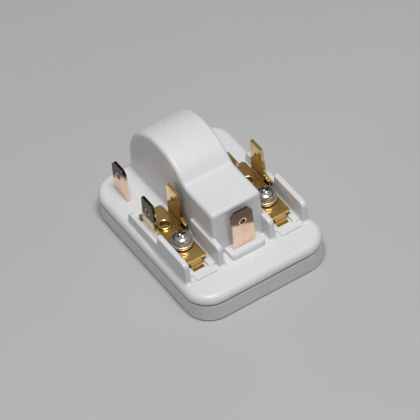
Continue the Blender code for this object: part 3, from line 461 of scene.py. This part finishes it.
def smooth_group():
    """Geometry nodes that shade by angle."""
    tree = bpy.data.node_groups.new("Shade_by_angle", "GeometryNodeTree")
    tree.interface.new_socket("Geometry", in_out="INPUT", socket_type="NodeSocketGeometry")
    tree.interface.new_socket("Geometry", in_out="OUTPUT", socket_type="NodeSocketGeometry")
    start = tree.nodes.new("NodeGroupInput")
    end = tree.nodes.new("NodeGroupOutput")
    angle = tree.nodes.new("GeometryNodeInputMeshEdgeAngle")
    compare = tree.nodes.new("FunctionNodeCompare")
    compare.data_type = "FLOAT"
    compare.operation = "LESS_THAN"
    compare.inputs[1].default_value = SMOOTH_ANGLE
    faces = tree.nodes.new("GeometryNodeSetShadeSmooth")
    faces.domain = "FACE"
    edges = tree.nodes.new("GeometryNodeSetShadeSmooth")
    edges.domain = "EDGE"
    tree.links.new(angle.outputs["Unsigned Angle"], compare.inputs[0])
    tree.links.new(start.outputs[0], faces.inputs["Geometry"])
    tree.links.new(faces.outputs["Geometry"], edges.inputs["Geometry"])
    tree.links.new(compare.outputs["Result"], edges.inputs["Shade Smooth"])
    tree.links.new(edges.outputs["Geometry"], end.inputs[0])
    return tree


SMOOTH = smooth_group()


def dress(item, material, edge, sheet):
    """Weld a solid's mesh, soften its edges, shade it by angle and paint it.

    Sheet metal gets whole faces first, so that the shading stays flat round holes.
    """
    weld = item.modifiers.new("Weld", "WELD")
    weld.merge_threshold = WELD
    if sheet:
        whole = item.modifiers.new("Whole_faces", "DECIMATE")
        whole.decimate_type = "DISSOLVE"
        whole.angle_limit = WHOLE_FACE_ANGLE
    if edge:
        bevel = item.modifiers.new("Soft_edges", "BEVEL")
        bevel.width = edge
        bevel.segments = EDGE_SEGMENTS
        bevel.limit_method = "ANGLE"
        bevel.angle_limit = EDGE_ANGLE
        bevel.use_clamp_overlap = True
    item.modifiers.new("Shade", "NODES").node_group = SMOOTH
    flat = item.modifiers.new("Flat_faces", "WEIGHTED_NORMAL")
    flat.mode = "FACE_AREA"
    flat.keep_sharp = True
    item.data.materials.clear()
    item.data.materials.append(material)


# Small forms

def add_piece(name, mesh_data, material):
    """Turn a bmesh into a piece that rides on the body."""
    bmesh.ops.recalc_face_normals(mesh_data, faces=mesh_data.faces)
    mesh = bpy.data.meshes.new(name)
    mesh_data.to_mesh(mesh)
    mesh_data.free()
    item = bpy.data.objects.new(name, mesh)
    bpy.context.scene.collection.objects.link(item)
    mesh.materials.append(material)
    item.modifiers.new("Shade", "NODES").node_group = SMOOTH
    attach(item, "root")


def sweep(mesh_data, rows, closed):
    """Join rows of points into one closed tube, with ends where it is open."""
    made = [[mesh_data.verts.new(point) for point in row] for row in rows]
    count = len(made)
    for index in range(count if closed else count - 1):
        here, after = made[index], made[(index + 1) % count]
        for side in range(len(here)):
            nxt = (side + 1) % len(here)
            mesh_data.faces.new((here[side], after[side], after[nxt], here[nxt]))
    if not closed:
        mesh_data.faces.new(made[0])
        mesh_data.faces.new(made[-1])


def bar(mesh_data, start, end, half, rise, drop):
    """A closed bar along a line, with a round back on top and a flat underside."""
    rows = []
    for point in (start, end):
        turns = [math.pi * step / BACK_STEPS for step in range(BACK_STEPS + 1)]
        row = [point + Vector((half * math.cos(turn), 0, rise * math.sin(turn)))
               for turn in turns]
        row += [point + Vector((-half, 0, -drop)), point + Vector((half, 0, -drop))]
        rows.append(row)
    sweep(mesh_data, rows, False)


def ring_marks(name, rings, shape, material):
    """Low round ridges on flat faces, from (centre, way that the face looks).

    shape is (radius, half width, height) of the ridges.
    """
    radius, thick, rise = shape
    made = bmesh.new()
    for centre, normal in rings:
        turned = Vector((0, 0, 1)).rotation_difference(Vector(normal)).to_matrix()
        rows = []
        for step in range(RING_STEPS):
            turn = math.tau * step / RING_STEPS
            way = Vector((math.cos(turn), math.sin(turn), 0))
            row = []
            for side in range(RING_SIDES):
                lean = math.tau * side / RING_SIDES
                point = way * (radius + thick * math.cos(lean))
                point += Vector((0, 0, rise * math.sin(lean)))
                row.append(Vector(centre) + turned @ point)
            rows.append(row)
        sweep(made, rows, True)
    add_piece(name, made, material)


def node_mesh(name):
    """A node's welded mesh, to measure on."""
    mesh_data = bmesh.new()
    mesh_data.from_mesh(nodes[name].data)
    bmesh.ops.remove_doubles(mesh_data, verts=mesh_data.verts, dist=WELD)
    mesh_data.normal_update()
    return mesh_data


def side_of(node):
    """-1 for a node on the left of the part, 1 for one on the right."""
    return -1 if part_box(node)[0][0] < 0 else 1


def foot_edges(mesh_data):
    """Inner corners where a wall stands on a level face: {edge: (wall, rise)}."""
    found = {}
    low, high = FOOT_HEIGHTS
    for edge in mesh_data.edges:
        foot = edge.verts[0].co.z
        if len(edge.link_faces) != 2 or edge.is_convex or not low < foot < high:
            continue
        if BED_HEIGHTS[0] < foot < BED_HEIGHTS[1]:
            continue
        wall, level = sorted(edge.link_faces, key=lambda face: face.normal.z)
        if level.normal.z < LEVEL_NORMAL or abs(wall.normal.z) > WALL_NORMAL:
            continue
        rise = max(vert.co.z for vert in wall.verts) - foot
        if rise > LEAST_RISE:
            found[edge] = (wall, rise)
    return found


def chains(edges):
    """Lists of (vertices, edges) that follow one another."""
    left = set(edges)
    rows = []
    for first in sorted(edges, key=lambda edge: edge.index):
        if first not in left:
            continue
        left.discard(first)
        verts, line = [first.verts[0], first.verts[1]], [first]
        for end in (-1, 0):
            step = True
            while step:
                step = next((e for e in verts[end].link_edges if e in left), None)
                if step:
                    left.discard(step)
                    other = step.other_vert(verts[end])
                    if end:
                        verts.append(other)
                        line.append(step)
                    else:
                        verts.insert(0, other)
                        line.insert(0, step)
        rows.append((verts, line))
    return rows


def free_run(trees, point, way):
    """Distance to the next surface along a way, up to FREE_REACH."""
    start = point + Vector((0, 0, FEELER_UP)) + way * FEELER_OUT
    hits = [tree.ray_cast(start, way, FREE_REACH)[3] for tree in trees]
    return min([hit for hit in hits if hit is not None] + [FREE_REACH])


def fall(tree, point):
    """How far the surface under a point lies below it."""
    start = point + Vector((0, 0, FALL_START))
    hit = tree.ray_cast(start, Vector((0, 0, -1)), FALL_REACH)[0]
    return min(0.0, hit.z - point.z) if hit else 0.0


def foot_radius(rise, room):
    """Radius of the fillet under a wall of one height, with this much room."""
    if rise > TALL_WALL:
        return min(FINE_FOOT_RADIUS, FINE_SHARE * room)
    if rise < SMALL_STEP:
        return min(FINE_FOOT_RADIUS, FINE_SHARE * rise)
    return min(FOOT_RADIUS, WIDE_SHARE * room)


def fillet_section(radius):
    """A fillet's section as (out, up) from the corner, sunk into both faces."""
    section = []
    for step in range(FOOT_STEPS + 1):
        turn = math.pi / 2 * step / FOOT_STEPS
        section.append((radius * (1 - math.cos(turn)), radius * (1 - math.sin(turn))))
    return section + [(radius, -FOOT_SINK), (-FOOT_SINK, -FOOT_SINK), (-FOOT_SINK, radius)]


def foot_fillets(name):
    """Soft fillets where the cover's walls stand on its deck."""
    source = node_mesh("cover")
    metal = [node_mesh(node) for node in nodes if node.startswith(("terminal", "tab"))]
    trees = [BVHTree.FromBMesh(mesh_data) for mesh_data in [source] + metal]
    found = foot_edges(source)
    made = bmesh.new()
    for verts, line in chains(found):
        closed = verts[0] is verts[-1]
        outs, radii = [], []
        for edge in line:
            wall, rise = found[edge]
            out = Vector((wall.normal.x, wall.normal.y, 0)).normalized()
            middle = (edge.verts[0].co + edge.verts[1].co) / 2
            outs.append(out)
            radii.append(foot_radius(rise, free_run(trees, middle, out)))
        rows = []
        for index, vert in enumerate(verts[:-1] if closed else verts):
            before = index - 1 if index or closed else 0
            after = min(index, len(line) - 1)
            way = (outs[before] + outs[after]).normalized()
            way = way / max(MITRE_LIMIT, way.dot(outs[after]))
            radius = min(radii[before], radii[after])
            slope = fall(trees[0], vert.co + way * radius) / radius
            rows.append([vert.co + way * u + Vector((0, 0, w + slope * max(0.0, u)))
                         for u, w in fillet_section(radius)])
        sweep(made, rows, closed)
    add_piece(name, made, white_cover)
    for mesh_data in [source] + metal:
        mesh_data.free()


def cross_section(node, height, behind=math.inf):
    """The rectangle (x0, y0, x1, y1) that a node fills at a height, in front of a line."""
    mesh_data = node_mesh(node)
    everything = mesh_data.verts[:] + mesh_data.edges[:] + mesh_data.faces[:]
    cut = bmesh.ops.bisect_plane(mesh_data, geom=everything, dist=1e-7,
                                 plane_co=(0, 0, height), plane_no=(0, 0, 1))
    points = [part.co.copy() for part in cut["geom_cut"]
              if isinstance(part, bmesh.types.BMVert) and part.co.y < behind]
    mesh_data.free()
    return (min(p.x for p in points), min(p.y for p in points),
            max(p.x for p in points), max(p.y for p in points))


def corners(x0, y0, x1, y1):
    return [Vector((x0, y0, 0)), Vector((x1, y0, 0)), Vector((x1, y1, 0)), Vector((x0, y1, 0))]


def seat_lip(name, node, height):
    """A thin crowned lip of plastic that closes the slot round a copper tab."""
    x0, y0, x1, y1 = cross_section(node, height + SEAT_SECTION)
    out = SEAT_GAP + SEAT_OVERLAP
    made = bmesh.new()
    rows = []
    for near, far in zip(corners(x0, y0, x1, y1),
                         corners(x0 - out, y0 - out, x1 + out, y1 + out)):
        row = []
        for step in range(LIP_STEPS + 1):
            crown = SEAT_RISE * math.sin(math.pi * step / LIP_STEPS)
            row.append(far.lerp(near, step / LIP_STEPS) + Vector((0, 0, height + crown)))
        row += [corner + Vector((0, 0, height - LIP_DEPTH)) for corner in (near, far)]
        rows.append(row)
    sweep(made, rows, True)
    add_piece(name, made, white_cover)


def window_sills(name, bracket):
    """Sills that close the window on both sides of a bracket's tongue."""
    x0, _, x1, _ = cross_section(bracket, SILL_HEIGHT, WINDOW_BACK)
    middle = side_of(bracket) * TERMINAL_X
    made = bmesh.new()
    for near, far in ((x0, middle - WINDOW_HALF), (x1, middle + WINDOW_HALF)):
        x, half = (near + far) / 2, abs(far - near) / 2
        bar(made, Vector((x, WINDOW_FRONT, SILL_HEIGHT)), Vector((x, WINDOW_BACK, SILL_HEIGHT)),
            half, SILL_RISE, LIP_DEPTH)
    add_piece(name, made, white_cover)


def rail_lip(name, bracket):
    """The edge of a low rail that leans against the foot of the outer blade."""
    low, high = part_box(bracket)
    near = max(abs(low[0]), abs(high[0]))
    x, half = side_of(bracket) * (near + RAIL_FACE) / 2, (RAIL_FACE - near) / 2
    made = bmesh.new()
    bar(made, *(Vector((x, y, RAIL_LIP_HEIGHT)) for y in FOOT_SPAN), half, RAIL_LIP_RISE,
        LIP_DEPTH)
    add_piece(name, made, white_cover)


def strip_seams(name, strip):
    """Folded seams where a strip is pressed between the blades of its bracket."""
    low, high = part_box(strip)
    made = bmesh.new()
    for x in (low[0] - SEAT_GAP / 2, high[0] + SEAT_GAP / 2):
        bar(made, *(Vector((x, y, low[2] + SEAM_HEIGHT)) for y in BLADE_SPAN),
            SEAT_GAP / 2 + SEAM_OVERLAP, SEAM_RISE, SEAM_DEPTH)
    add_piece(name, made, collar_brass_painted_highlight)


def collar(strip):
    """Middle, bore radius, outer radius and top of a strip's drawn collar."""
    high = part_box(strip)[1]
    top = [v.co for v in nodes[strip].data.vertices if v.co.z > high[2] - COLLAR_BAND]
    centre = Vector(((min(p.x for p in top) + max(p.x for p in top)) / 2,
                     (min(p.y for p in top) + max(p.y for p in top)) / 2, 0))
    reach = [(Vector((p.x, p.y, 0)) - centre).length for p in top]
    return centre, min(reach), max(reach), high[2]


def collar_rim(name, strip):
    """The crowned rim on top of a strip's drawn collar."""
    centre, bore, outer, top = collar(strip)
    place = centre + Vector((0, 0, top - COLLAR_RIM_SINK))
    shape = ((bore + outer) / 2, (outer - bore) / 2 - COLLAR_RIM_INSET, COLLAR_RIM_RISE)
    ring_marks(name, [(place, (0, 0, 1))], shape, collar_brass_painted_highlight)


def collar_thread(name, strip):
    """The cut thread inside a strip's drawn collar, faded out at both ends, in a dark brass that
    paints the shade of the bore.
    """
    centre, bore, _, top = collar(strip)
    start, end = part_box(strip)[0][2] + THREAD_LOW, top - THREAD_HIGH
    turns = (end - start) / THREAD_PITCH
    steps = int(turns * THREAD_STEPS)
    made = bmesh.new()
    rows = []
    for step in range(steps + 1):
        share = step / steps
        turn = math.tau * turns * share
        fade = min(1.0, THREAD_FADE * share, THREAD_FADE * (1 - share))
        way = Vector((math.cos(turn), math.sin(turn), 0))
        height = start + (end - start) * share
        profile = ((THREAD_ROOT, -THREAD_HALF), (-THREAD_DEPTH * fade, 0.0),
                   (THREAD_ROOT, THREAD_HALF))
        rows.append([centre + way * (bore + out) + Vector((0, 0, height + up))
                     for out, up in profile])
    sweep(made, rows, False)
    add_piece(name, made, thread_brass_painted_shade)


def tab_rims(name, tab, axis):
    """Coined rims round the hole of a copper tab, on both faces across an axis."""
    low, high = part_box(tab)
    middle = [(low[i] + high[i]) / 2 for i in range(3)]
    middle[2] = high[2] - HOLE_DROP
    rings = []
    for face, sign in ((low, -1), (high, 1)):
        centre, normal = list(middle), [0, 0, 0]
        centre[axis], normal[axis] = face[axis], sign
        rings.append((centre, normal))
    ring_marks(name, rings, TAB_RIM, rim_copper_painted_highlight)


def blade_rims(name, bracket):
    """Coined rims round the holes of a bracket's blades, on their outer faces."""
    low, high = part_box(bracket)
    place = (BLADE_HOLE_Y, high[2] - HOLE_DROP)
    rings = [((low[0], *place), (-1, 0, 0)), ((high[0], *place), (1, 0, 0))]
    ring_marks(name, rings, BLADE_RIM, rim_brass_painted_highlight)


def pedestal_nose(name):
    """Rounded front of the pedestal that carries the front tab."""
    back, top, foot = PEDESTAL_FRONT + NOSE_SINK, PEDESTAL_TOP + NOSE_PROUD, DECK_TOP - NOSE_SINK
    x0, x1 = NOSE_SPAN
    made = bmesh.new()
    rows = []
    for step in range(NOSE_STEPS + 1):
        x = x0 + (x1 - x0) * (0.5 - 0.5 * math.cos(math.pi * step / NOSE_STEPS))
        into = min(1.0, min(x - x0, x1 - x) / NOSE_CORNER)
        reach = NOSE_REACH * math.sqrt(max(0.0, 1 - (1 - into) ** 2)) + NOSE_OVERLAP
        row = [Vector((x, back, foot)), Vector((x, back, top))]
        for drop_step in range(NOSE_DROP_STEPS + 1):
            out = drop_step / NOSE_DROP_STEPS
            drop = 1 - (1 - out ** NOSE_POWER) ** (1 / NOSE_POWER)
            row.append(Vector((x, PEDESTAL_FRONT - reach * out,
                               top - (PEDESTAL_TOP - DECK_TOP) * drop)))
        row.append(Vector((x, PEDESTAL_FRONT - reach, foot)))
        rows.append(row)
    sweep(made, rows, False)
    add_piece(name, made, white_cover)


# Camera, floor and light

def set_camera():
    """Camera at the photograph's viewing angle."""
    data = bpy.data.cameras.new("Camera")
    data.sensor_width = SENSOR_WIDTH
    data.lens = LENS
    data.clip_start, data.clip_end = CLIP
    camera = bpy.data.objects.new("Camera", data)
    bpy.context.scene.collection.objects.link(camera)
    bpy.context.scene.camera = camera
    azimuth, elevation, roll = (math.radians(v) for v in (AZIMUTH, ELEVATION, ROLL))
    back = Vector((math.sin(azimuth) * math.cos(elevation),
                   -math.cos(azimuth) * math.cos(elevation), math.sin(elevation)))
    right = Vector((math.cos(azimuth), math.sin(azimuth), 0.0))
    up = back.cross(right)
    turned_right = right * math.cos(roll) + up * math.sin(roll)
    turned_up = up * math.cos(roll) - right * math.sin(roll)
    turned = Matrix((turned_right, turned_up, back)).transposed().to_4x4()
    camera.matrix_world = Matrix.Translation(CAMERA_PLACE) @ turned


def add_floor():
    """Plain pale floor that takes the object's shadow."""
    grid = bmesh.new()
    bmesh.ops.create_grid(grid, x_segments=1, y_segments=1, size=FLOOR_HALF)
    data = bpy.data.meshes.new("floor")
    grid.to_mesh(data)
    grid.free()
    floor = bpy.data.objects.new("floor", data)
    bpy.context.scene.collection.objects.link(floor)
    data.materials.append(floor_paper("floor_paper"))


def area_light(name, place, size, power):
    """A rectangular soft lamp that looks at the object."""
    data = bpy.data.lights.new(name, "AREA")
    data.shape = "RECTANGLE"
    data.size, data.size_y = size
    data.energy = power
    item = bpy.data.objects.new(name, data)
    bpy.context.scene.collection.objects.link(item)
    item.location = place
    way = Vector(LAMP_AIM) - Vector(place)
    item.rotation_euler = way.to_track_quat("-Z", "Y").to_euler()


def studio_dome():
    """Soft light from overhead that fades towards the horizon."""
    world = bpy.data.worlds.new("Studio")
    bpy.context.scene.world = world
    world.use_nodes = True
    tree = world.node_tree
    place = tree.nodes.new("ShaderNodeTexCoord")
    split = tree.nodes.new("ShaderNodeSeparateXYZ")
    level = tree.nodes.new("ShaderNodeMapRange")
    level.interpolation_type = "SMOOTHSTEP"
    level.inputs["From Min"].default_value, level.inputs["From Max"].default_value = DOME_HEIGHTS
    level.inputs["To Min"].default_value, level.inputs["To Max"].default_value = DOME_STRENGTHS
    tree.links.new(place.outputs["Generated"], split.inputs["Vector"])
    tree.links.new(split.outputs["Z"], level.inputs["Value"])
    shell = tree.nodes["Background"]
    shell.inputs["Color"].default_value = DOME_TINT
    tree.links.new(level.outputs["Result"], shell.inputs["Strength"])


for node_name, node_item in nodes.items():
    for kind, finish in FINISH.items():
        if node_name.startswith(kind):
            dress(node_item, *finish)
            break

foot_fillets("cover_foot_fillets")
seat_lip("tab_front_seat", "tab_front", PEDESTAL_TOP)
seat_lip("tab_rear_seat", "tab_rear", DECK_TOP)
for make, piece, node in (
        (window_sills, "terminal_window", "terminal_bracket"),
        (rail_lip, "rail_lip", "terminal_bracket"),
        (strip_seams, "terminal_seams", "terminal_strip"),
        (collar_rim, "terminal_collar_rim", "terminal_strip"),
        (collar_thread, "terminal_thread", "terminal_strip")):
    for side in ("left", "right"):
        make(f"{piece}_{side}", f"{node}_{side}")
tab_rims("tab_front_rims", "tab_front", 1)
tab_rims("tab_rear_rims", "tab_rear", 0)
blade_rims("terminal_rims_left", "terminal_bracket_left")
blade_rims("terminal_rims_right", "terminal_bracket_right")
pedestal_nose("pedestal_nose")
ring_marks("deck_ring_mark", [(DECK_MARK_PLACE, (0, 0, 1))], DECK_MARK, white_cover)

set_camera()
add_floor()
for lamp in LAMPS:
    area_light(*lamp)
studio_dome()
bpy.context.scene.view_settings.view_transform = "Standard"
